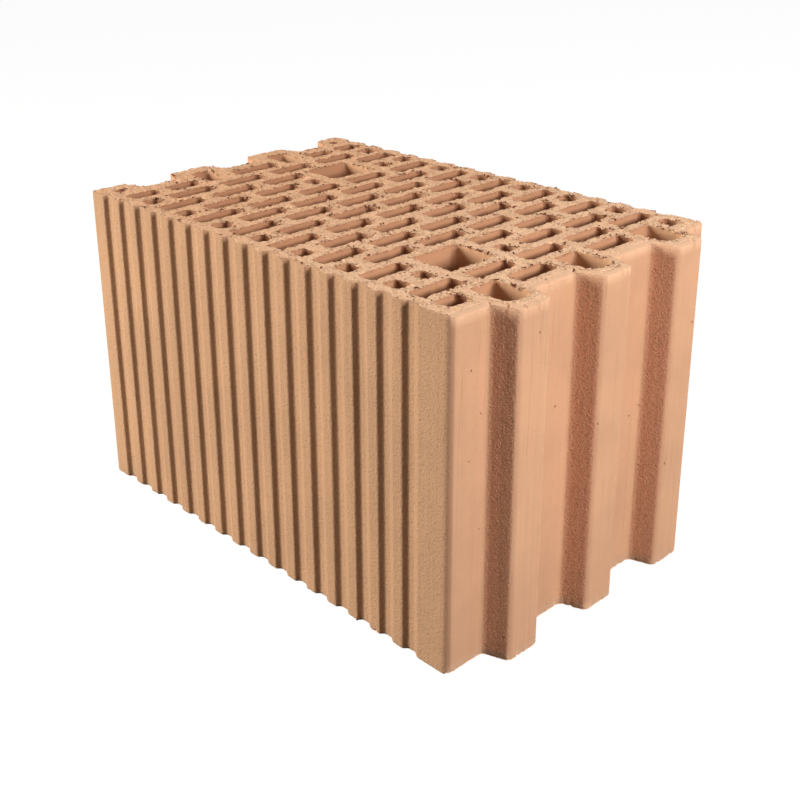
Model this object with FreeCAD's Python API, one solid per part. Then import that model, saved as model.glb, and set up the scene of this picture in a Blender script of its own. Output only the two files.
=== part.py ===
import FreeCAD, Part
import os
from math import ceil, sin, tan

from FreeCAD import Vector

# Hollow clay block: one extruded and fired piece, standing on its bed face.
# The origin is the centre of the outline's bounding box, at the lower bed face.
# +X points out of the end with the tongues, -Y out of one grooved long face, +Z up.
# Sizes are millimetres. Chambers run the full height; columns of them are counted
# from the tongue end, rows from the -Y face.

# Outer sizes
LAYING_LENGTH = 373.0  # from one block's end face to the next one's in a course
WIDTH = 250.0
HEIGHT = 238.0
CORNER_RADIUS = 5.0

# Tongues of one end, as many as the width takes; the other end has a recess for each
TONGUE_DEPTH = 17.5
TONGUE_FACE = 27.5
TONGUE_FLANK = 6.0  # run of one sloping flank along the end face
TONGUE_FIRST = 51.5  # centre of the first tongue from the -Y face
TONGUE_PITCH = 77.5
TONGUE_LAST = 36.0  # least distance from the centre of the last tongue to the +Y face
TONGUE_RADIUS = 4.5
INTERLOCK_GAP = 1.0  # play of a tongue in its recess, on each side and in depth

# Plaster grooves of both long faces
GROOVES = 16
GROOVE_DEPTH = 3.0
GROOVE_OPENING = 12.7
GROOVE_STEEP_WALL = 2.4  # run of the wall on the recess end's side
GROOVE_GENTLE_WALL = 4.6  # run of the wall on the tongue end's side
TONGUE_END_STRIP = 26.2  # plain strip from the end face to the first groove
RECESS_END_STRIP = 17.9

# Shells, and webs between the chambers
TONGUE_END_SHELL = 11.4
RECESS_END_SHELL = 12.9
SIDE_SHELL = 11.2
COLUMN_WEB = 8.3
ROW_WEB = 12.0
END_COLUMN_WEB = 10.5  # between the chambers of the first and of the last column

# Chambers
COLUMNS = 16
ROWS = 5
CHAMBER_CHAMFER = 1.8  # of the four corners of a plain chamber
CHAMBER_RADIUS = 2.5  # of the inner corners of a chamber with a rounded nose
SHORTEST_CHAMBER = 8.0  # a shorter rest beside a grip hole stays solid
LONGEST_END_CHAMBER = 45.0  # a web parts a longer one in the first and last column
TONGUE_CHAMBER_WIDTH = 22.0
TONGUE_CHAMBER_WALL = 11.0  # clay in front of the chamber
TONGUE_CHAMBER_RADIUS = 7.5
BUTTRESS_CHAMBER_WIDTH = 16.5  # chamber of the buttress between two recesses
BUTTRESS_CHAMBER_WALL = 13.5
BUTTRESS_CHAMBER_RADIUS = 4.5
CORNER_HOLE = 7.0  # small square hole in each corner of the recess end
CORNER_HOLE_END_WALL = 12.3
CORNER_HOLE_SIDE_WALL = 13.3

# Grip holes: two, point-symmetric
GRIP_COLUMNS = 2  # columns that one of them takes
COLUMNS_BEFORE_GRIP = 2
ROWS_BEFORE_GRIP = 1
GRIP_EXTRA = 2.0  # longer than a chamber by this at each end
GRIP_RADIUS = 4.0

LARGEST_CUT = 0.45  # share of a side that the rounding or cut of one corner may take

# Planes and pitches that follow from these sizes
TONGUE_END = (LAYING_LENGTH - TONGUE_DEPTH) / 2
RECESS_END = TONGUE_END - LAYING_LENGTH
RECESS_FLOOR = RECESS_END + TONGUE_DEPTH + INTERLOCK_GAP
FRONT, BACK = -WIDTH / 2, WIDTH / 2
CHAMBER_FIELD = TONGUE_END - TONGUE_END_SHELL - RECESS_FLOOR - RECESS_END_SHELL
CHAMBER_WIDTH = (CHAMBER_FIELD - (COLUMNS - 1) * COLUMN_WEB) / COLUMNS
COLUMN_PITCH = CHAMBER_WIDTH + COLUMN_WEB
INNER_SPAN = (FRONT + SIDE_SHELL, BACK - SIDE_SHELL)
CHAMBER_LENGTH = (INNER_SPAN[1] - INNER_SPAN[0] - (ROWS - 1) * ROW_WEB) / ROWS
ROW_PITCH = CHAMBER_LENGTH + ROW_WEB
TONGUES = int((WIDTH - TONGUE_FIRST - TONGUE_LAST) // TONGUE_PITCH) + 1
TONGUE_CENTRES = [FRONT + TONGUE_FIRST + i * TONGUE_PITCH for i in range(TONGUES)]
BUTTRESS_CENTRES = [centre + TONGUE_PITCH / 2 for centre in TONGUE_CENTRES[:-1]]


def rounded_wire(corners):
    """Closed wire through (x, y, radius) corners, rounded by arcs; radius 0 stays sharp."""
    points = [Vector(x, y, 0) for x, y, _ in corners]
    ends = []
    for i, point in enumerate(points):
        back = points[i - 1] - point
        ahead = points[(i + 1) % len(points)] - point
        half_angle = back.getAngle(ahead) / 2
        longest_tangent = LARGEST_CUT * min(back.Length, ahead.Length)
        tangent = min(corners[i][2] / tan(half_angle), longest_tangent)
        radius = tangent * tan(half_angle)
        back.normalize()
        ahead.normalize()
        inward = (back + ahead).normalize()
        crown = point + inward * (radius / sin(half_angle) - radius)
        ends.append((point + back * tangent, crown, point + ahead * tangent))
    edges = []
    for i, (start, crown, stop) in enumerate(ends):
        edges.append(Part.makeLine(ends[i - 1][2], start))
        if corners[i][2]:
            edges.append(Part.Arc(start, crown, stop).toShape())
    return Part.Wire(edges)


def box_wire(x_span, y_span, radius):
    """Rounded rectangle between two X values and two Y values."""
    (x0, x1), (y0, y1) = x_span, y_span
    return rounded_wire([(x0, y0, radius), (x1, y0, radius), (x1, y1, radius), (x0, y1, radius)])


def slot_wire(x_span, y_span):
    """Rectangle between two X values and two Y values, with its corners cut off."""
    (x0, x1), (y0, y1) = x_span, y_span
    cut = min(CHAMBER_CHAMFER, LARGEST_CUT * (x1 - x0), LARGEST_CUT * (y1 - y0))
    return rounded_wire([
        (x0 + cut, y0, 0), (x1 - cut, y0, 0), (x1, y0 + cut, 0), (x1, y1 - cut, 0),
        (x1 - cut, y1, 0), (x0 + cut, y1, 0), (x0, y1 - cut, 0), (x0, y0 + cut, 0),
    ])


def around(centre, width):
    return centre - width / 2, centre + width / 2


def groove_corners(y, inward):
    """Corners of all grooves of a long face at y, from the recess end to the tongue end."""
    first = TONGUE_END - TONGUE_END_STRIP
    last = RECESS_END + RECESS_END_STRIP + GROOVE_OPENING
    pitch = (first - last) / (GROOVES - 1)
    floor = y + inward * GROOVE_DEPTH
    corners = []
    for i in range(GROOVES):
        near = last + i * pitch
        far = near - GROOVE_OPENING
        corners += [
            (far, y, 0),
            (far + GROOVE_STEEP_WALL, floor, 0),
            (near - GROOVE_GENTLE_WALL, floor, 0),
            (near, y, 0),
        ]
    return corners


def tongue_corners():
    """Corners of the tongue end from -Y to +Y."""
    corners = []
    for centre in TONGUE_CENTRES:
        foot = around(centre, TONGUE_FACE + 2 * TONGUE_FLANK)
        face = around(centre, TONGUE_FACE)
        tip = TONGUE_END + TONGUE_DEPTH
        corners += [(TONGUE_END, foot[0]), (tip, face[0]), (tip, face[1]), (TONGUE_END, foot[1])]
    return [(x, y, TONGUE_RADIUS) for x, y in corners]


def recess_corners():
    """Corners of the recess end from -Y to +Y."""
    corners = []
    for centre in TONGUE_CENTRES:
        floor = around(centre, TONGUE_FACE + 2 * INTERLOCK_GAP)
        mouth = around(centre, TONGUE_FACE + 2 * (TONGUE_FLANK + INTERLOCK_GAP))
        corners += [
            (RECESS_END, mouth[0]), (RECESS_FLOOR, floor[0]),
            (RECESS_FLOOR, floor[1]), (RECESS_END, mouth[1]),
        ]
    return [(x, y, TONGUE_RADIUS) for x, y in corners]


def outline():
    """Outer wire: front face, tongue end, back face and recess end."""
    return rounded_wire(
        [(RECESS_END, FRONT, CORNER_RADIUS)]
        + groove_corners(FRONT, 1)
        + [(TONGUE_END, FRONT, CORNER_RADIUS)]
        + tongue_corners()
        + [(TONGUE_END, BACK, CORNER_RADIUS)]
        + groove_corners(BACK, -1)[::-1]
        + [(RECESS_END, BACK, CORNER_RADIUS)]
        + recess_corners()[::-1]
    )


def column_span(column):
    """X values of a column of chambers, counted from the tongue end."""
    outer = TONGUE_END - TONGUE_END_SHELL - column * COLUMN_PITCH
    return outer - CHAMBER_WIDTH, outer


def row_span(row):
    """Y values of a long chamber; a half row number lies between two rows."""
    start = INNER_SPAN[0] + row * ROW_PITCH
    return start, start + CHAMBER_LENGTH


def free_spans(span, blocked, web):
    """Parts of a span that stay a web away from the blocked spans."""
    parts, start = [], span[0]
    for low, high in sorted(blocked):
        parts.append((start, min(span[1], low - web)))
        start = max(start, high + web)
    parts.append((start, span[1]))
    return [part for part in parts if part[1] - part[0] >= SHORTEST_CHAMBER]


def parted(span, web):
    """A span parted by webs into equal chambers that aren't too long."""
    length = span[1] - span[0]
    count = ceil(length / LONGEST_END_CHAMBER)
    each = (length - (count - 1) * web) / count
    starts = [span[0] + i * (each + web) for i in range(count)]
    return [(start, start + each) for start in starts]


def column_pattern(column):
    """Y spans of a column: long chambers, or long ones half a row on with short ends."""
    if column % 2:
        return [row_span(row) for row in range(ROWS)]
    between = [row_span(row + 0.5) for row in range(ROWS - 1)]
    first = (INNER_SPAN[0], between[0][0] - ROW_WEB)
    last = (between[-1][1] + ROW_WEB, INNER_SPAN[1])
    return [first] + between + [last]


def grip_holes():
    """(X span, Y span, columns) of the two grip holes."""
    grips = []
    for first, row in (
        (COLUMNS_BEFORE_GRIP, ROWS_BEFORE_GRIP),
        (COLUMNS - GRIP_COLUMNS - COLUMNS_BEFORE_GRIP, ROWS - 1 - ROWS_BEFORE_GRIP),
    ):
        columns = range(first, first + GRIP_COLUMNS)
        low, high = row_span(row)
        x_span = (column_span(columns[-1])[0], column_span(columns[0])[1])
        y_span = (low - GRIP_EXTRA, high + GRIP_EXTRA)
        grips.append((x_span, y_span, columns))
    return grips


def inner_column_wires():
    """Chambers of all columns but the first and the last, clear of the grip holes."""
    wires = []
    for column in range(1, COLUMNS - 1):
        blocked = [y_span for _, y_span, columns in grip_holes() if column in columns]
        for span in column_pattern(column):
            for part in free_spans(span, blocked, ROW_WEB):
                wires.append(slot_wire(column_span(column), part))
    return wires


def end_column_wires(column, special_spans):
    """Plain chambers that fill an end column between its special ones."""
    wires = []
    for span in free_spans(INNER_SPAN, special_spans, END_COLUMN_WEB):
        for part in parted(span, END_COLUMN_WEB):
            wires.append(slot_wire(column_span(column), part))
    return wires


def tongue_column_wires():
    """First column: one chamber reaches into each tongue, with a rounded nose."""
    inner = column_span(0)[0]
    nose = TONGUE_END + TONGUE_DEPTH - TONGUE_CHAMBER_WALL
    spans = [around(centre, TONGUE_CHAMBER_WIDTH) for centre in TONGUE_CENTRES]
    wires = end_column_wires(0, spans)
    for low, high in spans:
        wires.append(rounded_wire([
            (inner, low, CHAMBER_RADIUS), (nose, low, TONGUE_CHAMBER_RADIUS),
            (nose, high, TONGUE_CHAMBER_RADIUS), (inner, high, CHAMBER_RADIUS),
        ]))
    return wires


def recess_column_wires():
    """Last column: a chamber reaches into each buttress between two recesses."""
    inner = column_span(COLUMNS - 1)[1]
    nose = RECESS_END + BUTTRESS_CHAMBER_WALL
    spans = [around(centre, BUTTRESS_CHAMBER_WIDTH) for centre in BUTTRESS_CENTRES]
    wires = end_column_wires(COLUMNS - 1, spans)
    for low, high in spans:
        wires.append(rounded_wire([
            (nose, low, BUTTRESS_CHAMBER_RADIUS), (inner, low, CHAMBER_RADIUS),
            (inner, high, CHAMBER_RADIUS), (nose, high, BUTTRESS_CHAMBER_RADIUS),
        ]))
    return wires


def corner_hole_wires():
    """Small square holes in the two corners of the recess end."""
    x_start = RECESS_END + CORNER_HOLE_END_WALL
    x_span = (x_start, x_start + CORNER_HOLE)
    front_start = FRONT + CORNER_HOLE_SIDE_WALL
    back_end = BACK - CORNER_HOLE_SIDE_WALL
    y_spans = [(front_start, front_start + CORNER_HOLE), (back_end - CORNER_HOLE, back_end)]
    return [slot_wire(x_span, y_span) for y_span in y_spans]


def clay_block():
    """The outline less all chambers, drawn up to the block's height."""
    holes = (
        tongue_column_wires() + inner_column_wires()
        + recess_column_wires() + corner_hole_wires()
        + [box_wire(x_span, y_span, GRIP_RADIUS) for x_span, y_span, _ in grip_holes()]
    )
    section = Part.makeFace([outline()] + holes, "Part::FaceMakerBullseye")
    return section.extrude(Vector(0, 0, HEIGHT))


os.makedirs("parts", exist_ok=True)
clay_block().exportStep("parts/clay_block.step")
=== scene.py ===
from functools import cache
from itertools import product
from math import pi, radians

import bpy
import numpy as np
from bpy.props import FloatProperty, FloatVectorProperty, PointerProperty
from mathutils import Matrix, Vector, kdtree
from mathutils.geometry import delaunay_2d_cdt


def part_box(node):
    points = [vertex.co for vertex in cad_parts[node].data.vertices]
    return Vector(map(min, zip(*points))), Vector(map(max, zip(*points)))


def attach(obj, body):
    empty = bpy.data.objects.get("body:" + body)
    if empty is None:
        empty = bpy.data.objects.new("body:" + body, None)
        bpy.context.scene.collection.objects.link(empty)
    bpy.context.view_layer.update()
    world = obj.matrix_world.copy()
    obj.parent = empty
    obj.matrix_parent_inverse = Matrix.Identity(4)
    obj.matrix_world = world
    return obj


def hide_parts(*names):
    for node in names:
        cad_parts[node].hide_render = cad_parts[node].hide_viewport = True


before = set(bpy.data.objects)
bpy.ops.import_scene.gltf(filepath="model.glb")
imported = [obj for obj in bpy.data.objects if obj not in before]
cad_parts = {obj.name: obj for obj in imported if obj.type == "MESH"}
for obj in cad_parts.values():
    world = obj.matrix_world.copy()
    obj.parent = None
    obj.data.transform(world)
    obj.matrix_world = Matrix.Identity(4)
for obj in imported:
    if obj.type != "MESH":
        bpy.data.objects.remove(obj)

# Looks of a hollow clay block: extruded, wire-cut on both bed faces, and fired.
# Mesh code works in millimetres; Blender's unit and the frame's is the metre.

bl_info = {
    "name": "Hollow clay block",
    "version": (1, 0, 0),
    "blender": (4, 5, 0),
    "location": "3D View > Sidebar > Clay block",
    "description": "Faces, chambers, beds and crumbs of a hollow clay block, with its stage",
    "category": "Object",
}

MM = 0.001
NODE = "clay_block"
BODY = "root"
LOWEST, HIGHEST = (np.array(corner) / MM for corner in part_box(NODE))
HEIGHT = HIGHEST[2]
TOP, BOTTOM = "top", "bottom"
CORNER_TURN = radians(25)  # a sharper turn of an outline stays a point of its mesh
SHARP_EDGE = radians(38)
BASE_HEIGHT = 0.001  # what is no higher lies on the base of the solid
CLEARANCE = 0.02  # of every piece from the block's bounding box
BORDER_INSET = 0.8  # from an edge of the section to the flat part of a bed face
OUTER_MARGIN, CHAMBER_MARGIN = 16, 22  # from a bed plane to the nearest even ring of a wall
TONGUE_ZONE, RECESS_ZONE = 30, 15  # from each end of the box, clear of the grooves
CORNER_DEPTH = 6  # of the rounded upright corners under the plaster planes
PLASTER_ROUGHNESS = 0.8
WIDEST_SHADOWED = 15  # a chamber that is no wider gets a painted shadow in the -X corner of its torn end
LOWER_DROP = 0.45  # mean depth of the lower wire-cut surface, which is less torn
CRUMBS = {TOP: (170000, 3), BOTTOM: (30000, 11)}  # number in a square metre, and seed
FLOOR_HALF = 4.0  # in metres

# First seeds of the random relief
DEPTH_SEEDS = {TOP: 40, BOTTOM: 60}
CHIP_SEEDS = {TOP: 20, BOTTOM: 30}
LIP_SEEDS = {TOP: 25, BOTTOM: 35}
NOISE_TABLE = 8191
CELL_STEPS = np.array([73856093, 19349663, 83492791])  # primes that scatter cells over the table


class ClayShape(bpy.types.PropertyGroup):
    """Mesh spacing and relief."""

    face_step: FloatProperty(
        name="Face step", description="Spacing of mesh points round the outer faces",
        default=0.8 * MM, unit="LENGTH", precision=5)
    chamber_step: FloatProperty(
        name="Chamber step", description="Spacing of mesh points round a chamber",
        default=1.1 * MM, unit="LENGTH", precision=5)
    bed_step: FloatProperty(
        name="Bed step", description="Spacing of mesh points on a wire-cut bed face",
        default=1.0 * MM, unit="LENGTH", precision=5)
    level_step: FloatProperty(
        name="Level step", description="Height between the mesh rings of the outer faces",
        default=8 * MM, unit="LENGTH", precision=5)
    cut_drop: FloatProperty(
        name="Cut drop", description="Mean depth of the wire-cut surface under its highest crumbs",
        default=1.05 * MM, unit="LENGTH", precision=5)
    chip: FloatProperty(
        name="Chips", description="Depth of the deepest chips at a chamber's mouth",
        default=2.2 * MM, unit="LENGTH", precision=5)
    burr: FloatProperty(
        name="Burrs", description="Longest lip of dragged clay over a chamber's mouth",
        default=1.3 * MM, unit="LENGTH", precision=5)


class ClayColours(bpy.types.PropertyGroup):
    """Colours of the fired clay, as they look in plain light."""

    plaster: FloatVectorProperty(
        name="Plaster face", description="Grooved long faces", subtype="COLOR",
        size=3, min=0, max=1, default=(0.565, 0.316, 0.180))
    end: FloatVectorProperty(
        name="End face", description="Faces with the tongues and recesses", subtype="COLOR",
        size=3, min=0, max=1, default=(0.64, 0.360, 0.211))
    flank: FloatVectorProperty(
        name="Flank", description="Sides of the tongues and recesses", subtype="COLOR",
        size=3, min=0, max=1, default=(0.645, 0.320, 0.190))
    chamber: FloatVectorProperty(
        name="Chamber wall", description="Walls of the chambers at the recess end",
        subtype="COLOR", size=3, min=0, max=1, default=(0.53, 0.268, 0.145))
    pale_chamber: FloatVectorProperty(
        name="Pale chamber wall", description="Walls of the chambers at the tongue end",
        subtype="COLOR", size=3, min=0, max=1, default=(0.56, 0.295, 0.162))
    bed: FloatVectorProperty(
        name="Bed face", description="Wire-cut faces at the recess end", subtype="COLOR",
        size=3, min=0, max=1, default=(0.92, 0.525, 0.305))
    pale_bed: FloatVectorProperty(
        name="Pale bed face", description="Wire-cut faces at the tongue end", subtype="COLOR",
        size=3, min=0, max=1, default=(0.93, 0.590, 0.372))
    burnt: FloatVectorProperty(
        name="Burnt crumb", description="Pits and the darkest crumbs", subtype="COLOR",
        size=3, min=0, max=1, default=(0.150, 0.048, 0.020))


class ClayStage(bpy.types.PropertyGroup):
    """Camera and light."""

    camera_place: FloatVectorProperty(
        name="Camera place", description="Where the camera stands", subtype="TRANSLATION",
        size=3, default=(0.59694, -0.57898, 0.47869))
    camera_turn: FloatVectorProperty(
        name="Camera turn", description="The camera's rotation", subtype="EULER",
        size=3, default=(radians(69.2897), radians(0.9649), radians(47.3718)))
    camera_lens: FloatProperty(
        name="Lens", description="Focal length on a 36 mm wide sensor", default=54.669)
    camera_shift: FloatVectorProperty(
        name="Shift", description="Lens shift across and up", size=2, default=(0.06, -0.12))
    left_light: FloatProperty(name="Left light", description="Power in watts", default=57)
    right_light: FloatProperty(name="Right light", description="Power in watts", default=13.8)
    back_light: FloatProperty(name="Back light", description="Power in watts", default=34)
    sky_light: FloatProperty(name="Sky", description="Strength of the plain sky", default=0.09)


def noise(points, size, seed):
    """Smooth noise from -1 to 1 at (x, y) or (x, y, z) points, with bumps of about size."""
    table = np.random.default_rng(seed).uniform(-1, 1, NOISE_TABLE)
    scaled = points / size
    cell = np.floor(scaled).astype(np.int64)
    part = scaled - cell
    part = part * part * (3 - 2 * part)
    steps = CELL_STEPS[:points.shape[1]]
    total = np.zeros(len(points))
    for corner in product((0, 1), repeat=points.shape[1]):
        weight = np.prod(np.where(corner, part, 1 - part), axis=1)
        total += weight * table[((cell + corner) * steps).sum(axis=1) % NOISE_TABLE]
    return total


def rise(value, low, high):
    """0 below low, 1 above high and smooth between."""
    share = np.clip((value - low) / (high - low), 0, 1)
    return share * share * (3 - 2 * share)


def vertex_places(mesh):
    """Places of a mesh's vertices, in metres."""
    places = np.empty(len(mesh.vertices) * 3)
    mesh.vertices.foreach_get("co", places)
    return places.reshape(-1, 3)


def section_outlines():
    """Outlines of the section, the outer one first, with the clay on their left."""
    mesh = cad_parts[NODE].data
    places = vertex_places(mesh) / MM
    corners = np.empty(len(mesh.loops), int)
    mesh.loops.foreach_get("vertex_index", corners)
    triangles = corners.reshape(-1, 3)
    low = triangles[(places[triangles][:, :, 2] < BASE_HEIGHT).all(axis=1)]
    keys = [tuple(key) for key in np.round(places[:, :2], 3)]
    sides = {(keys[a], keys[b]) for t in low for a, b in zip(t, np.roll(t, -1))}
    following = {b: a for a, b in sides if (b, a) not in sides}
    outlines = []
    while following:
        start = point = next(iter(following))
        outline = []
        while True:
            outline.append(point)
            point = following.pop(point)
            if point == start:
                break
        outlines.append(np.array(outline))
    return sorted(outlines, key=lambda o: -np.ptp(o[:, 0]))


def spaced(outline, step):
    """The outline with evenly spaced points, its corners among them."""
    ahead = np.roll(outline, -1, 0) - outline
    heading = np.arctan2(ahead[:, 1], ahead[:, 0])
    turn = (heading - np.roll(heading, 1) + pi) % (2 * pi) - pi
    kept = np.flatnonzero(abs(turn) > CORNER_TURN)
    outline = np.roll(outline, -(kept[0] if len(kept) else 0), 0)
    closed = np.vstack([outline, outline[:1]])
    along = np.concatenate([[0], np.cumsum(np.hypot(*np.diff(closed, axis=0).T))])
    marks = np.append(along[kept - kept[0]] if len(kept) else [0], along[-1])
    places = [
        np.linspace(a, b, max(1, round((b - a) / step)), endpoint=False)
        for a, b in zip(marks, marks[1:])
    ]
    places = np.concatenate(places)
    return np.stack([np.interp(places, along, closed[:, axis]) for axis in (0, 1)], axis=1)


def softened(outline):
    """The outline with its corners rounded off a little."""
    return outline / 2 + (np.roll(outline, 1, 0) + np.roll(outline, -1, 0)) / 4


def outward(outline):
    """Unit directions away from the clay, one for each point."""
    along = np.roll(outline, -1, 0) - np.roll(outline, 1, 0)
    along /= np.hypot(*along.T)[:, None]
    return np.stack([along[:, 1], -along[:, 0]], axis=1)


def plaster_depth(outline):
    """Depth of the points under the nearer plaster plane."""
    y = outline[:, 1]
    return np.minimum(y - LOWEST[1], HIGHEST[1] - y)


def near_ends(outline):
    """Whether the points lie in the zones at the ends of the block."""
    x = outline[:, 0]
    return (x < LOWEST[0] + RECESS_ZONE) | (x > HIGHEST[0] - TONGUE_ZONE)


def end_share(outline, away):
    """1 on the end faces and 0 on the plaster faces, with a soft change at the corners."""
    deep = rise(plaster_depth(outline), CORNER_DEPTH - 1, CORNER_DEPTH)
    return np.maximum(deep, near_ends(outline) * rise(abs(away[:, 0]), 0.3, 0.8))


def corner_shade_share(outline, away):
    """1 along the rounded upright corners of the block, where a painted shade darkens the colour.
    """
    shallow = near_ends(outline) * (plaster_depth(outline) < CORNER_DEPTH)
    return shallow * rise(abs(away[:, 0] * away[:, 1]), 0.2, 0.45)


def rough_share(outline, away):
    """Torn surface: 1 on the flanks of the tongues and recesses, less on the plaster faces."""
    plaster = 1 - end_share(outline, away)
    flank = (1 - plaster) * rise(abs(away[:, 1]), 0.5, 0.85)
    return np.maximum(PLASTER_ROUGHNESS * plaster, flank)


def worn_share(outline, away):
    """1 along the worn edge of the tongue end."""
    return end_share(outline, away) * (outline[:, 0] > 0)


@cache
def outer_outline():
    step = bpy.context.scene.clay_shape.face_step / MM
    return softened(spaced(section_outlines()[0], step))


@cache
def chamber_outlines():
    step = bpy.context.scene.clay_shape.chamber_step / MM
    return [spaced(outline, step) for outline in section_outlines()[1:]]


def bed_depth(points, bed):
    """Depth of a wire-cut surface under the block's highest or lowest plane."""
    seed = DEPTH_SEEDS[bed]
    mean = bpy.context.scene.clay_shape.cut_drop / MM if bed == TOP else LOWER_DROP
    swell = 0.14 * noise(points, 38, seed) + 0.10 * noise(points, 13, seed + 1)
    tears = 0.20 * noise(points, 3.6, seed + 2) + 0.26 * noise(points, 1.6, seed + 3)
    pits = 0.8 * rise(noise(points, 2.4, seed + 4), 0.45, 0.75)
    return np.clip(mean + swell + tears + pits, 0.08, None)


def chips(points, away, bed):
    """Depth of the clay that broke out of an edge."""
    seed = CHIP_SEEDS[bed]
    deepest = bpy.context.scene.clay_shape.chip / MM
    torn = 0.25 + 0.75 * np.clip(-away[:, 1], 0, 1)
    fine = rise(noise(points, 1.2, seed + 2), 0.0, 0.7)
    small = rise(noise(points, 2.3, seed), 0.2, 0.6)
    large = rise(noise(points, 7.0, seed + 1), 0.45, 0.8)
    return deepest * torn * (0.22 * fine + 0.35 * small + 0.6 * large)


def lips(points, away, bed):
    """Length of the clay that the wire dragged over an edge."""
    seed = LIP_SEEDS[bed]
    longest = bpy.context.scene.clay_shape.burr / MM
    dragged = 0.10 + 0.90 * np.clip(-away[:, 1], 0, 1)
    lip = rise(noise(points, 2.4, seed), 0.15, 0.45)
    ragged = lip * (0.7 + 0.5 * noise(points, 1.1, seed + 1))
    return longest * dragged * ragged


# Rings of a rim: depth under the bed, retreat into the clay, share of a chip, share of a lip
CHAMBER_RIM = (
    (0.00, 0.42, 1.00, 0.9), (0.10, 0.36, 0.95, 1.0), (0.45, 0.34, 0.80, 0.7),
    (1.0, 0.32, 0.50, 0.2), (1.8, 0.30, 0.20, 0.0), (3.6, 0.22, 0.03, 0.0), (8.0, 0.05, 0.0, 0.0),
)
OUTER_RIM = (  # the outer edge has no lips
    (0.00, 0.70, 1.00), (0.12, 0.30, 0.9), (0.42, 0.06, 0.7),
    (1.0, 0.0, 0.4), (2.0, 0.0, 0.15), (4.0, 0.0, 0.0), (8.0, 0.0, 0.0),
)
WORN_RIM = (  # the smooth bevelled rim of the tongue end
    (0.00, 3.00, 0.25), (0.20, 2.00, 0.2), (0.60, 0.95, 0.2),
    (1.00, 0.22, 0.2), (1.5, 0.45, 0.1), (2.1, 0.0, 0.0), (8.0, 0.0, 0.0),
)


def ring(points, depth, bed):
    """The points at their depth under a bed, as (x, y, z)."""
    return np.column_stack([points, HEIGHT - depth if bed == TOP else depth])


def chamber_rim(outline, bed):
    """Rings of a chamber's mouth, from the bed face inwards."""
    away = outward(outline)
    chip, lip = chips(outline, away, bed), lips(outline, away, bed)
    surface = bed_depth(outline - BORDER_INSET * away, bed)
    rings = []
    for depth, retreat, chipped, lipped in CHAMBER_RIM:
        shift = retreat + chip * chipped - lip * lipped
        rings.append(ring(outline - away * shift[:, None],
                          surface + depth + 0.35 * chip * chipped, bed))
    return rings


def outer_rim(outline, bed):
    """Rings of the outer faces' edge, from the bed face inwards."""
    away = outward(outline)
    worn = worn_share(outline, away)
    chip = 0.55 * chips(outline * 1.3, away * 0, bed)  # alike on all sides
    surface = bed_depth(outline - BORDER_INSET * away, bed)
    rings = []
    for plain, smooth in zip(OUTER_RIM, WORN_RIM):
        depth, retreat, chipped = (
            (1 - worn) * a + worn * b for a, b in zip(plain, smooth))
        shift = skin(outline) + retreat + chip * chipped
        rings.append(ring(outline - away * shift[:, None],
                          surface + depth + 0.5 * chip * chipped, bed))
    return rings


def skin(outline):
    """Depth of the outer faces' surface under the plane of the section, streaks included."""
    return 0.10 + 0.05 * noise(outline, 1.9, 3) + 0.04 * noise(outline, 6.0, 4)


def wall_rings(outline, away, levels, depth, relief):
    """Rings of a wall between its two rims."""
    rings = []
    for level in levels:
        places = np.column_stack([outline, np.full(len(outline), level)])
        shift = depth + relief * (noise(places * (1, 1, 0.5), 21, 7) + 0.4 * noise(places, 7, 8))
        rings.append(np.column_stack([outline - away * shift[:, None], places[:, 2]]))
    return rings


def ring_faces(count, rings, first):
    """Quads between neighbouring rings of count points, facing away from the clay."""
    here = np.arange(count)
    after = (here + 1) % count
    faces = []
    for k in range(rings - 1):
        upper, lower = first + k * count, first + (k + 1) * count
        faces.append(np.stack([upper + here, lower + here, lower + after, upper + after], axis=1))
    return np.concatenate(faces)


def add_object(name, data):
    """Object in the scene, from its mesh, light or camera."""
    added = bpy.data.objects.new(name, data)
    bpy.context.scene.collection.objects.link(added)
    return added


def make_piece(name, places, faces, finish, attributes):
    """Mesh object from points in millimetres, riding on the block's body."""
    mesh = bpy.data.meshes.new(name)
    places = np.clip(places, LOWEST + CLEARANCE, HIGHEST - CLEARANCE)
    mesh.from_pydata((places * MM).tolist(), [], faces.tolist())
    for key, values in attributes.items():
        mesh.attributes.new(key, "FLOAT", "POINT").data.foreach_set("value", values)
    mesh.polygons.foreach_set("use_smooth", np.ones(len(mesh.polygons), bool))
    mesh.set_sharp_from_angle(angle=SHARP_EDGE)
    mesh.materials.append(finish)
    declare(add_object(name, mesh))


def declare(piece):
    """The piece rides on the body and stands for the block, whose part is hidden."""
    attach(piece, BODY)
    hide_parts(NODE)


class Tree:
    """A node tree that is filled by node() and by arithmetic on its values."""

    def __init__(self, tree):
        self.tree = tree

    def node(self, kind, settings=None, inputs=None, output=0):
        """Adds a node, its settings first and then its sockets, and returns one output."""
        node = self.tree.nodes.new(kind)
        for key, value in (settings or {}).items():
            if key == "stops":
                self.set_stops(node.color_ramp, value)
            else:
                setattr(node, key, value)
        for key, value in (inputs or {}).items():
            if isinstance(value, Value):
                self.tree.links.new(value.socket, node.inputs[key])
            elif value is not None:
                node.inputs[key].default_value = value
        return Value(self, node.outputs[output]) if len(node.outputs) else None

    @staticmethod
    def set_stops(ramp, stops):
        while len(ramp.elements) < len(stops):
            ramp.elements.new(1)
        for element, (place, level) in zip(ramp.elements, stops):
            element.position = place
            element.color = (level, level, level, 1)


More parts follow.
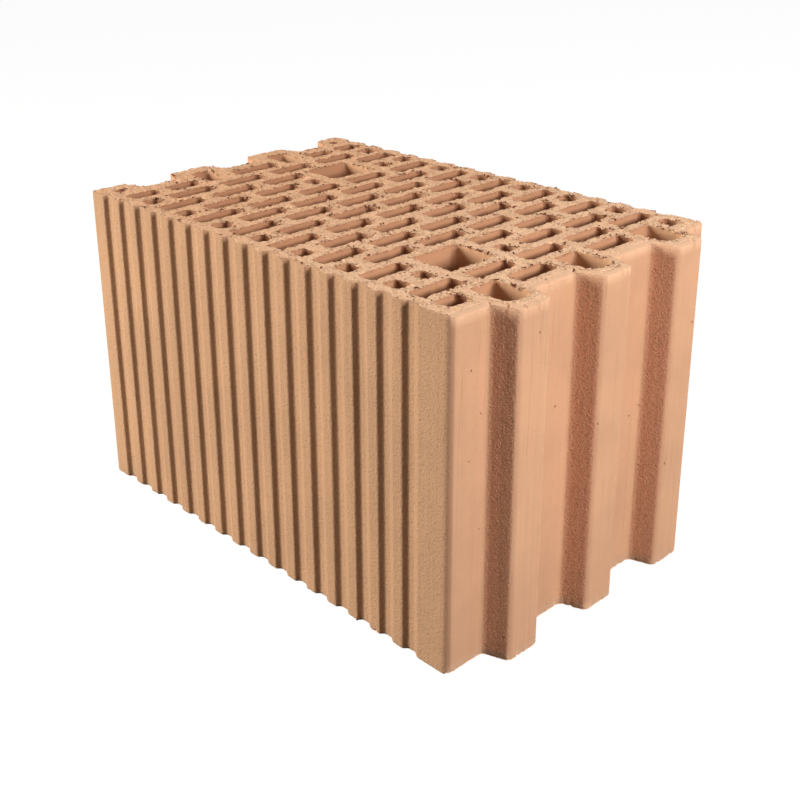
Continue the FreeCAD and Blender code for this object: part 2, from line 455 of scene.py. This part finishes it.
class Value:
    """An output socket; arithmetic on it adds Math nodes."""

    def __init__(self, tree, socket):
        self.tree = tree
        self.socket = socket

    def math(self, operation, *values):
        inputs = dict(enumerate(values))
        return self.tree.node("ShaderNodeMath", {"operation": operation}, inputs)

    def __add__(self, other):
        return self.math("ADD", self, other)

    def __sub__(self, other):
        return self.math("SUBTRACT", self, other)

    def __mul__(self, other):
        return self.math("MULTIPLY", self, other)

    def __rsub__(self, other):
        return self.math("SUBTRACT", other, self)

    __radd__ = __add__
    __rmul__ = __mul__


class Finish(Tree):
    """A material and the textures that clay finishes share."""

    def __init__(self, name):
        self.material = bpy.data.materials.new(name)
        self.material.use_nodes = True
        super().__init__(self.material.node_tree)
        self.tree.nodes.clear()
        self.place = self.node("ShaderNodeTexCoord", output="Object")

    def attribute(self, name):
        return self.node("ShaderNodeAttribute", {"attribute_name": name}, output="Fac")

    def stretched(self, factors):
        return self.node("ShaderNodeVectorMath", {"operation": "MULTIPLY"},
                         {0: self.place, 1: factors})

    def grain(self, size, detail=2.0, place=None):
        """Noise with bumps of about size millimetres, from 0 to 1."""
        return self.node("ShaderNodeTexNoise", None, {
            "Vector": place or self.place, "Scale": 1 / (size * MM), "Detail": detail,
            "Roughness": 0.6})

    def ramp(self, value, low, high):
        """0 below low and 1 above high."""
        return self.node("ShaderNodeMapRange", {"interpolation_type": "SMOOTHSTEP"}, {
            "Value": value, "From Min": low, "From Max": high, "To Min": 0, "To Max": 1})

    def pores(self, spacing, radius, share):
        """1 inside small round pits; only a share of the cells has one."""
        cells = {"Vector": self.place, "Scale": 1 / (spacing * MM)}
        distance = self.node("ShaderNodeTexVoronoi", None, cells, "Distance")
        chance = self.node("ShaderNodeTexVoronoi", None, cells, "Color")
        chosen = 1 - self.ramp(chance, share, share + 0.01)
        return (1 - self.ramp(distance, 0.5 * radius / spacing, 1.3 * radius / spacing)) * chosen

    def pale(self):
        """0 at the recess end to 1 at the tongue end, where the clay is paler; on the bed faces
        this paleness is partly a painted sheen.
        """
        along = self.node("ShaderNodeSeparateXYZ", None, {0: self.place})
        return self.ramp(along, -0.15, 0.15)

    def mix(self, share, first, second):
        """Second colour over the first by share."""
        inputs = {0: share, 6: colour_of(first), 7: colour_of(second)}
        return self.node("ShaderNodeMix", {"data_type": "RGBA"}, inputs, 2)

    def finish(self, colour, roughness, height, depth):
        """Surface with a bump of depth millimetres between height 0 and 1."""
        bump = self.node("ShaderNodeBump", None, {
            "Height": height, "Distance": depth * MM, "Strength": 1.0})
        surface = self.node("ShaderNodeBsdfPrincipled", None, {
            "Base Color": colour, "Roughness": roughness, "Normal": bump,
            "Specular IOR Level": 0.25})
        self.node("ShaderNodeOutputMaterial", None, {"Surface": surface})
        return self.material


def colour_of(value):
    return value if isinstance(value, Value) else (*value, 1)


def shade(colour, factor):
    """The colour made lighter or darker."""
    return tuple(min(1, channel * factor) for channel in colour)


@cache
def face_finish():
    """Outer faces: sandy grooved faces, smooth pinker ends, streaks of the die, with painted shade
    on the groove walls that face the left light and along the rounded upright corners.
    """
    colours = bpy.context.scene.clay_colours
    clay = Finish("clay_outer")
    end = clay.attribute("end")
    rim = clay.attribute("rim")
    rough = clay.attribute("rough")
    blotch = clay.ramp(clay.grain(70, 3.0), 0.35, 0.65)
    streak = clay.grain(1.8, 2.0, clay.stretched((1, 1, 0.015)))
    line = clay.grain(7, 1.0, clay.stretched((1, 1, 0.02)))
    line = 1 - clay.ramp(line.math("ABSOLUTE", line - 0.56), 0.0, 0.010)
    speck = clay.grain(1.5, 2.0)
    sand = clay.ramp(clay.grain(1.3, 1.0), 0.55, 0.72)
    plaster = clay.mix(blotch, shade(colours.plaster, 1.05), shade(colours.plaster, 0.95))
    smooth = clay.mix(blotch, shade(colours.end, 1.04), shade(colours.end, 0.94))
    smooth = clay.mix(rough, smooth, colours.flank)
    colour = clay.mix(end, plaster, smooth)
    colour = clay.mix(clay.ramp(streak, 0.45, 0.75) * 0.22 * (1 - end * 0.7), colour,
                      shade(colours.plaster, 0.70))
    colour = clay.mix(line * end * 0.35, colour, shade(colours.end, 0.55))
    colour = clay.mix(clay.ramp(speck, 0.50, 0.70) * (0.08 + rough * 0.32), colour,
                      shade(colours.chamber, 0.50))
    colour = clay.mix(sand * (0.08 + rough * 0.26), colour, shade(colours.plaster, 1.50))
    # painted shade: the groove walls that face the left light are darkened to tone down their
    # highlight
    colour = clay.mix(clay.attribute("polished") * 0.45, colour, shade(colours.plaster, 0.62))
    # painted shade along the rounded upright corners of the block
    colour = clay.mix(clay.attribute("corner") * 0.40, colour, shade(colours.chamber, 0.5))
    colour = clay.mix(rim * 0.8, colour, shade(colours.pale_bed, 0.84))
    pores = clay.pores(10, 0.75, 0.3)
    colour = clay.mix(pores * 0.7, colour, shade(colours.burnt, 2.5))
    height = (speck * 0.8 + sand * 0.3) * (0.15 + rough * 0.85) - pores
    height = height + streak * 0.2 * (1 - end * 0.8)
    return clay.finish(colour, 0.88, height, 0.7)


@cache
def chamber_finish():
    """Chamber walls: smooth from the core of the die, pinker than the faces, with painted shade
    near the mouths and a painted shadow at the torn ends of narrow chambers.
    """
    colours = bpy.context.scene.clay_colours
    clay = Finish("clay_chamber")
    blotch = clay.ramp(clay.grain(40, 3.0), 0.35, 0.65)
    streak = clay.grain(2.4, 3.0, clay.stretched((1, 1, 0.03)))
    speck = clay.grain(1.4, 3.0)
    colour = clay.mix(clay.pale(), colours.chamber, colours.pale_chamber)
    colour = clay.mix(blotch * 0.3, colour, shade(colours.chamber, 0.8))
    colour = clay.mix(clay.ramp(streak, 0.50, 0.75) * 0.2, colour, shade(colours.chamber, 0.75))
    colour = clay.mix(clay.ramp(speck, 0.55, 0.75) * 0.2, colour, shade(colours.chamber, 0.75))
    pores = clay.pores(6, 0.45, 0.2)
    colour = clay.mix(pores * 0.7, colour, shade(colours.burnt, 2.0))
    mouth = clay.ramp(clay.attribute("mouth") + clay.grain(3, 2.0) * 0.6, 0.6, 1.4)
    # painted shade: the upper walls near the mouth are darkened to even out the light that falls
    # more strongly there
    colour = clay.mix(mouth * 0.3, colour, shade(colours.chamber, 0.75))
    torn = clay.attribute("torn")
    colour = clay.mix(torn * 0.8, colour, shade(colours.bed, 0.74))
    # painted shadow: the burnt colour darkens the -X part of narrow chambers' torn end walls,
    # where the left light's shadow falls
    colour = clay.mix(clay.attribute("dark") * 0.7, colour, shade(colours.burnt, 1.5))
    bits = clay.ramp(clay.grain(2.0, 2.0), 0.54, 0.62) * mouth * 0.6
    colour = clay.mix(bits, colour, shade(colours.burnt, 1.3))
    return clay.finish(colour, 0.9, speck * 0.5 + streak * 0.3 - pores, 0.35)


@cache
def bed_finish():
    """Wire-cut faces: rough, paler, with pits and dark bits beside the mouths."""
    colours = bpy.context.scene.clay_colours
    clay = Finish("clay_bed")
    mouth = clay.attribute("mouth")
    worn = clay.attribute("worn")
    blotch = clay.ramp(clay.grain(30, 3.0), 0.35, 0.65)
    speck = clay.grain(1.7, 3.0)
    tear = clay.grain(2.6, 3.0, clay.stretched((1, 0.5, 1)))
    # bed paler towards the tongue end: partly the clay's own colour, partly a painted sheen
    colour = clay.mix(clay.pale(), colours.bed, colours.pale_bed)
    colour = clay.mix(blotch * 0.3, colour, shade(colours.bed, 0.8))
    colour = clay.mix(clay.ramp(speck, 0.52, 0.70) * 0.80, colour, shade(colours.bed, 0.48))
    colour = clay.mix(clay.ramp(tear, 0.52, 0.70) * 0.45, colour, shade(colours.bed, 0.68))
    colour = clay.mix(worn * 0.8, colour, shade(colours.pale_bed, 0.88))
    torn = clay.ramp(clay.grain(2.3, 1.0), 0.59, 0.63)
    torn = torn * clay.ramp(clay.grain(9, 2.0) + mouth * 0.32, 0.58, 0.76) * (1 - worn * 0.6)
    colour = clay.mix(torn * 0.75, colour, colours.burnt)
    height = (speck * 0.9 + tear * 0.9) * (1 - worn * 0.8) - torn * 0.6
    return clay.finish(colour, 0.92, height, 1.7)


@cache
def crumb_finish():
    """Crumbs that the wire left, from pale clay to burnt brown."""
    colours = bpy.context.scene.clay_colours
    clay = Finish("clay_crumb")
    burnt = clay.ramp(clay.attribute("tone"), 0.15, 0.60)
    colour = clay.mix(burnt, shade(colours.pale_bed, 0.72), colours.burnt)
    return clay.finish(colour, 0.9, clay.grain(0.6), 0.2)


def make_faces():
    """Outer faces: one closed band round the block."""
    shape = bpy.context.scene.clay_shape
    outline = outer_outline()
    away = outward(outline)
    top, bottom = outer_rim(outline, TOP), outer_rim(outline, BOTTOM)[::-1]
    count = round((HEIGHT - 2 * OUTER_MARGIN) * MM / shape.level_step)
    levels = np.linspace(HEIGHT - OUTER_MARGIN, OUTER_MARGIN, count)
    rings = top + wall_rings(outline, away, levels, skin(outline), 0.07) + bottom
    places = np.vstack(rings)
    faces = ring_faces(len(outline), len(rings), 0)
    end = np.tile(end_share(outline, away), len(rings))
    edge = np.minimum(HEIGHT - places[:, 2], places[:, 2])
    rim = (1 - rise(edge, 2.5, 4.2)) * end
    rough = np.tile(rough_share(outline, away), len(rings))
    tongue_rim = rim * (places[:, 0] > 0)
    # painted shade on the groove walls that face the left light (-X)
    polished = (1 - end) * np.tile(rise(-away[:, 0], 0.25, 0.5), len(rings))
    # painted shade along the rounded upright corners
    corner = np.tile(corner_shade_share(outline, away), len(rings))
    make_piece("outer_faces", places, faces, face_finish(), {
        "end": end, "rim": tongue_rim, "rough": rough, "polished": polished, "corner": corner})


def make_chambers():
    """Walls of all chambers, with every second ring left out of their lower rims."""
    levels = (HEIGHT - CHAMBER_MARGIN, CHAMBER_MARGIN)
    places, faces, torn, dark, count = [], [], [], [], 0
    for outline in chamber_outlines():
        away = outward(outline)
        top, bottom = chamber_rim(outline, TOP), chamber_rim(outline, BOTTOM)[::-2]
        rings = top + wall_rings(outline, away, levels, 0, 0.16) + bottom
        places += rings
        faces.append(ring_faces(len(outline), len(rings), count))
        width = np.ptp(outline[:, 0])
        end = rise(-away[:, 1], 0.3, 0.8)
        # painted shadow over the -X part of each torn end wall
        painted_shadow = end * (1 - rise((outline[:, 0] - outline[:, 0].min()) / width, 0.5, 0.85))
        torn.append(np.tile(end, len(rings)))
        dark.append(np.tile(painted_shadow * (width < WIDEST_SHADOWED), len(rings)))
        count += len(rings) * len(outline)
    places = np.vstack(places)
    depth = np.minimum(HEIGHT - places[:, 2], places[:, 2])
    shallow = 1 - rise(depth, 8, 20)
    make_piece("chamber_walls", places, np.concatenate(faces), chamber_finish(),
               {"mouth": 1 - rise(depth, 1.2, 4.5), "torn": np.concatenate(torn) * shallow,
                "dark": np.concatenate(dark) * shallow})


def inside(points, outline):
    """Whether each point lies within the outline."""
    within = np.zeros(len(points), bool)
    for (x0, y0), (x1, y1) in zip(outline, np.roll(outline, -1, 0)):
        if y0 == y1:
            continue
        crossed = (y0 > points[:, 1]) != (y1 > points[:, 1])
        within ^= crossed & (points[:, 0] < x0 + (points[:, 1] - y0) * (x1 - x0) / (y1 - y0))
    return within


def scattered(borders, step):
    """Points that fill the space between the borders of a bed face."""
    columns = np.arange(LOWEST[0], HIGHEST[0], step)
    rows = np.arange(LOWEST[1], HIGHEST[1], step)
    points = np.stack(np.meshgrid(columns, rows), axis=-1).reshape(-1, 2)
    points += np.random.default_rng(5).uniform(-0.3, 0.3, points.shape) * step
    points = points[inside(points, borders[0])]
    for border in borders[1:]:
        near = ((points > border.min(0)) & (points < border.max(0))).all(axis=1)
        near[near] = inside(points[near], border)
        points = points[~near]
    return points


def nearest_of(places, points):
    """Distance of each of the points to the nearest of the places, and that one's number."""
    tree = kdtree.KDTree(len(places))
    for index, (x, y) in enumerate(places):
        tree.insert((x, y, 0), index)
    tree.balance()
    found = [tree.find((x, y, 0)) for x, y in points]
    return np.array([gap for _, _, gap in found]), np.array([index for _, index, _ in found])


def filling(points, borders):
    """Triangles of a bed face, whose points begin with those of its borders."""
    sides, owner, first = [], np.full(len(points), -1), 0
    for number, border in enumerate(borders):
        here = first + np.arange(len(border))
        sides.append(np.stack([here, np.roll(here, -1)], axis=1))
        owner[here] = number
        first += len(border)
    result = delaunay_2d_cdt(
        [Vector(p) for p in points], np.concatenate(sides).tolist(), [], 0, 1e-5)
    if len(result[0]) != len(points):
        raise RuntimeError("the bed face's borders cross each other")
    triangles = np.array(result[2])
    owners = owner[triangles]
    alone = (owners == owners[:, :1]).all(axis=1)  # all three corners on one border
    outer = np.flatnonzero(alone & (owners[:, 0] == 0))
    dropped = alone & (owners[:, 0] > 0)
    dropped[outer] = ~inside(points[triangles[outer]].mean(axis=1), borders[0])
    return triangles[~dropped]


@cache
def bed_layout():
    """Points and triangles of a bed face, its borders first, with each inner point's
    distance to the nearest border point and that one's number."""
    step = bpy.context.scene.clay_shape.bed_step / MM
    borders = [
        outline - BORDER_INSET * outward(outline)
        for outline in [outer_outline()] + chamber_outlines()
    ]
    edge = np.vstack(borders)
    inner = scattered(borders, step)
    gap, source = nearest_of(edge, inner)
    clear = gap > 0.6 * step
    points = np.vstack([edge, inner[clear]])
    return points, filling(points, borders), gap[clear], source[clear]


def make_bed(bed):
    """One wire-cut bed face, joined to the rims of the outer faces and the chambers."""
    points, triangles, gap, source = bed_layout()
    outline, chambers = outer_outline(), chamber_outlines()
    rims = [outer_rim(outline, bed)[0]]
    rims += [chamber_rim(chamber, bed)[0] for chamber in chambers]
    border = np.vstack(rims)
    flat, inner = points[:len(border)], points[len(border):]
    moved = border[:, :2] - flat
    sunk = (HEIGHT - border[:, 2] if bed == TOP else border[:, 2]) - bed_depth(flat, bed)
    if bed == BOTTOM:
        border[:, 2] = sunk  # the block stands on the edges of its lower bed
    fade = 1 - rise(gap, 0.3, 2.6)
    inner_depth = bed_depth(inner, bed) + sunk[source] * fade
    inner = inner + moved[source] * fade[:, None]
    places = np.vstack([border, ring(inner, inner_depth, bed)])
    mouth = np.concatenate([np.ones(len(border)), 1 - rise(gap, 0, 3.0)])
    torn = [np.zeros(len(outline))]
    torn += [np.clip(-outward(chamber)[:, 1], 0, 1) for chamber in chambers]
    torn = np.concatenate(torn)
    torn = np.concatenate([torn, torn[source]])
    crumbs = (0.06 + 0.60 * mouth + 2.6 * mouth * torn) * rise(noise(points, 9, 77), -0.35, 0.4)
    worn = np.zeros(len(border))
    worn[:len(outline)] = worn_share(outline, outward(outline))
    worn = np.concatenate([worn, worn[source] * (1 - rise(gap, 3.5, 6.5))])
    faces = triangles if bed == TOP else triangles[:, ::-1]
    make_piece(f"bed_face_{bed}", places, faces, bed_finish(),
               {"mouth": mouth, "crumbs": crumbs * (1 - 0.7 * worn), "worn": worn})


def crumb_tree():
    """Geometry nodes that scatter small lumps over a bed face."""
    group = bpy.data.node_groups.new("crumbs", "GeometryNodeTree")
    socket = group.interface.new_socket
    socket("Geometry", in_out="INPUT", socket_type="NodeSocketGeometry")
    sizes = {"Density": 40000.0, "Smallest": 0.38 * MM, "Largest": 1.15 * MM}
    for name, default in sizes.items():
        socket(name, in_out="INPUT", socket_type="NodeSocketFloat").default_value = default
    socket("Seed", in_out="INPUT", socket_type="NodeSocketInt").default_value = 1
    socket("Geometry", in_out="OUTPUT", socket_type="NodeSocketGeometry")
    tree = Tree(group)
    given = tree.node("NodeGroupInput").socket.node.outputs
    density, smallest, largest, seed = (
        Value(tree, given[name]) for name in ("Density", "Smallest", "Largest", "Seed"))
    share = tree.node("GeometryNodeInputNamedAttribute", {"data_type": "FLOAT"},
                      {"Name": "crumbs"}, "Attribute")
    points = tree.node("GeometryNodeDistributePointsOnFaces", {"distribute_method": "RANDOM"}, {
        "Mesh": Value(tree, given["Geometry"]), "Density": share * density, "Seed": seed})
    turn = random_vector(tree, (0, 0, 0), (2 * pi, 2 * pi, 2 * pi), seed + 1)
    even = random_vector(tree, (0.5, 0.5, 1.0), (1.0, 1.0, 2.4), seed + 2)
    size = random_share(tree, seed + 3)
    size = smallest + size * size * (largest - smallest)
    scale = tree.node("ShaderNodeVectorMath", {"operation": "SCALE"}, {0: even, "Scale": size})
    lump = tree.node("GeometryNodeMeshIcoSphere", None, {"Radius": 1.0, "Subdivisions": 1})
    lumps = tree.node("GeometryNodeInstanceOnPoints", None, {
        "Points": points, "Instance": lump, "Rotation": turn, "Scale": scale})
    lumps = tree.node(
        "GeometryNodeStoreNamedAttribute", {"data_type": "FLOAT", "domain": "INSTANCE"},
        {"Geometry": lumps, "Name": "tone", "Value": random_share(tree, seed + 4)})
    whole = tree.node("GeometryNodeRealizeInstances", None, {"Geometry": lumps})
    rough = tree.node("ShaderNodeTexNoise", None, {"Scale": 1400.0, "Detail": 1.0}, "Color")
    rough = tree.node("ShaderNodeVectorMath", {"operation": "SUBTRACT"},
                      {0: rough, 1: (0.5, 0.5, 0.5)})
    rough = tree.node("ShaderNodeVectorMath", {"operation": "SCALE"},
                      {0: rough, "Scale": 0.9 * MM})
    whole = tree.node("GeometryNodeSetPosition", None, {"Geometry": whole, "Offset": rough})
    whole = tree.node("GeometryNodeSetMaterial", None, {
        "Geometry": whole, "Material": crumb_finish()})
    tree.node("NodeGroupOutput", None, {"Geometry": whole})
    return group


def random_vector(tree, low, high, seed):
    return tree.node("FunctionNodeRandomValue", {"data_type": "FLOAT_VECTOR"}, {
        0: low, 1: high, "Seed": seed})


def random_share(tree, seed):
    """Random number from 0 to 1."""
    return tree.node("FunctionNodeRandomValue", {"data_type": "FLOAT"}, {
        2: 0.0, 3: 1.0, "Seed": seed}, 1)


def make_crumbs(bed, density, seed):
    """Crumbs on one bed face, as a plain mesh that stays within the block's box."""
    bed_face = bpy.data.objects[f"bed_face_{bed}"]
    holder = add_object(f"crumbs_{bed}", bed_face.data.copy())
    modifier = holder.modifiers.new("crumbs", "NODES")
    modifier.node_group = crumb_tree()
    wanted = {"Density": float(density), "Seed": seed}
    for item in modifier.node_group.interface.items_tree:
        if item.in_out == "INPUT" and item.name in wanted:
            modifier[item.identifier] = wanted[item.name]
    shown = holder.evaluated_get(bpy.context.evaluated_depsgraph_get())
    mesh = bpy.data.meshes.new_from_object(shown)
    holder.modifiers.clear()
    places = vertex_places(mesh)
    places = np.clip(places, (LOWEST + CLEARANCE) * MM, (HIGHEST - CLEARANCE) * MM)
    mesh.vertices.foreach_set("co", places.ravel())
    holder.data = mesh
    declare(holder)


def make_light(name, place, size, power, colour):
    """Square soft light aimed at the middle of the block."""
    data = bpy.data.lights.new(name, "AREA")
    data.shape, data.size, data.energy, data.color = "SQUARE", size, power, colour
    light = add_object(name, data)
    light.location = place
    middle = Vector((0, 0, HEIGHT * MM / 2))
    light.rotation_euler = (middle - light.location).to_track_quat("-Z", "Y").to_euler()


def seen_directly(tree):
    """1 for rays from the camera, off gloss or through glass."""
    path = tree.node("ShaderNodeLightPath").socket.node.outputs
    camera, glossy, through = (
        Value(tree, path[name])
        for name in ("Is Camera Ray", "Is Glossy Ray", "Is Transmission Ray"))
    return camera.math("MAXIMUM", camera, glossy.math("MAXIMUM", glossy, through))


def make_world(strength):
    """Even pale sky that shows as white."""
    world = bpy.data.worlds.new("studio")
    world.use_nodes = True
    tree = Tree(world.node_tree)
    tree.tree.nodes.clear()
    level = strength + seen_directly(tree) * (1 - strength)
    sky = tree.node("ShaderNodeBackground", None, {"Color": (1, 1, 1, 1), "Strength": level})
    tree.node("ShaderNodeOutputWorld", None, {"Surface": sky})
    bpy.context.scene.world = world


def make_floor():
    """Large pale floor that shows almost white and keeps the block's shadow."""
    mesh = bpy.data.meshes.new("floor")
    turns = ((-1, -1), (1, -1), (1, 1), (-1, 1))
    corners = [(FLOOR_HALF * x, FLOOR_HALF * y, 0) for x, y in turns]
    mesh.from_pydata(corners, [], [(0, 1, 2, 3)])
    floor = add_object("floor", mesh)
    material = bpy.data.materials.new("pale_floor")
    material.use_nodes = True
    tree = Tree(material.node_tree)
    tree.tree.nodes.clear()
    dim = tree.node("ShaderNodeBsdfDiffuse", None, {"Color": (0.12, 0.12, 0.12, 1)})
    matte = tree.node("ShaderNodeBsdfDiffuse", None, {"Color": (0.8, 0.8, 0.8, 1)})
    white = tree.node("ShaderNodeEmission", None, {"Color": (1, 1, 1, 1), "Strength": 1.06})
    shown = tree.node("ShaderNodeMixShader", None, {0: 0.9, 1: matte, 2: white})
    mixed = tree.node("ShaderNodeMixShader", None, {0: seen_directly(tree), 1: dim, 2: shown})
    tree.node("ShaderNodeOutputMaterial", None, {"Surface": mixed})
    mesh.materials.append(material)


def make_camera(settings):
    """Camera at the photograph's viewing angle."""
    data = bpy.data.cameras.new("camera")
    data.lens = settings.camera_lens
    data.shift_x, data.shift_y = settings.camera_shift
    camera = add_object("camera", data)
    camera.location = settings.camera_place
    camera.rotation_euler = settings.camera_turn
    bpy.context.scene.camera = camera


class CLAY_OT_faces(bpy.types.Operator):
    """Make the outer faces"""

    bl_idname = "clay.faces"
    bl_label = "Outer faces"

    def execute(self, context):
        make_faces()
        return {"FINISHED"}


class CLAY_OT_chambers(bpy.types.Operator):
    """Make the walls of the chambers"""

    bl_idname = "clay.chambers"
    bl_label = "Chamber walls"

    def execute(self, context):
        make_chambers()
        return {"FINISHED"}


class CLAY_OT_beds(bpy.types.Operator):
    """Make the two wire-cut bed faces"""

    bl_idname = "clay.beds"
    bl_label = "Bed faces"

    def execute(self, context):
        for bed in (TOP, BOTTOM):
            make_bed(bed)
        return {"FINISHED"}


class CLAY_OT_crumbs(bpy.types.Operator):
    """Scatter crumbs on the bed faces"""

    bl_idname = "clay.crumbs"
    bl_label = "Crumbs"

    def execute(self, context):
        for bed, (density, seed) in CRUMBS.items():
            make_crumbs(bed, density, seed)
        return {"FINISHED"}


class CLAY_OT_stage(bpy.types.Operator):
    """Make the floor, the sky, the lights and the camera"""

    bl_idname = "clay.stage"
    bl_label = "Stage"

    def execute(self, context):
        settings = context.scene.clay_stage
        make_world(settings.sky_light)
        make_floor()
        make_light("left_light", (-1.29, -1.46, 0.72), 0.85, settings.left_light, (1, 0.99, 0.91))
        make_light("right_light", (1.2, 0.07, 0.6), 0.3, settings.right_light, (1, 0.96, 0.95))
        make_light("back_light", (0.5, 2.3, 2.3), 0.8, settings.back_light, (1, 0.98, 0.96))
        make_camera(settings)
        context.scene.view_settings.view_transform = "Standard"
        return {"FINISHED"}


class CLAY_PT_panel(bpy.types.Panel):
    """Operators and settings of the block"""

    bl_idname = "CLAY_PT_panel"
    bl_label = "Clay block"
    bl_space_type = "VIEW_3D"
    bl_region_type = "UI"
    bl_category = "Clay block"

    def draw(self, context):
        for operator in OPERATORS:
            self.layout.operator(operator.bl_idname)
        for group in (context.scene.clay_shape, context.scene.clay_colours,
                      context.scene.clay_stage):
            box = self.layout.box()
            for name in type(group).__annotations__:
                box.prop(group, name)


OPERATORS = (CLAY_OT_faces, CLAY_OT_chambers, CLAY_OT_beds, CLAY_OT_crumbs, CLAY_OT_stage)
CLASSES = (ClayShape, ClayColours, ClayStage, *OPERATORS, CLAY_PT_panel)


def register():
    for cls in CLASSES:
        bpy.utils.register_class(cls)
    bpy.types.Scene.clay_shape = PointerProperty(type=ClayShape)
    bpy.types.Scene.clay_colours = PointerProperty(type=ClayColours)
    bpy.types.Scene.clay_stage = PointerProperty(type=ClayStage)


def unregister():
    del bpy.types.Scene.clay_stage, bpy.types.Scene.clay_colours, bpy.types.Scene.clay_shape
    for cls in reversed(CLASSES):
        bpy.utils.unregister_class(cls)


def main():
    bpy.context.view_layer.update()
    register()
    bpy.ops.clay.faces()
    bpy.ops.clay.chambers()
    bpy.ops.clay.beds()
    bpy.ops.clay.crumbs()
    bpy.ops.clay.stage()


if __name__ == "__main__":
    main()
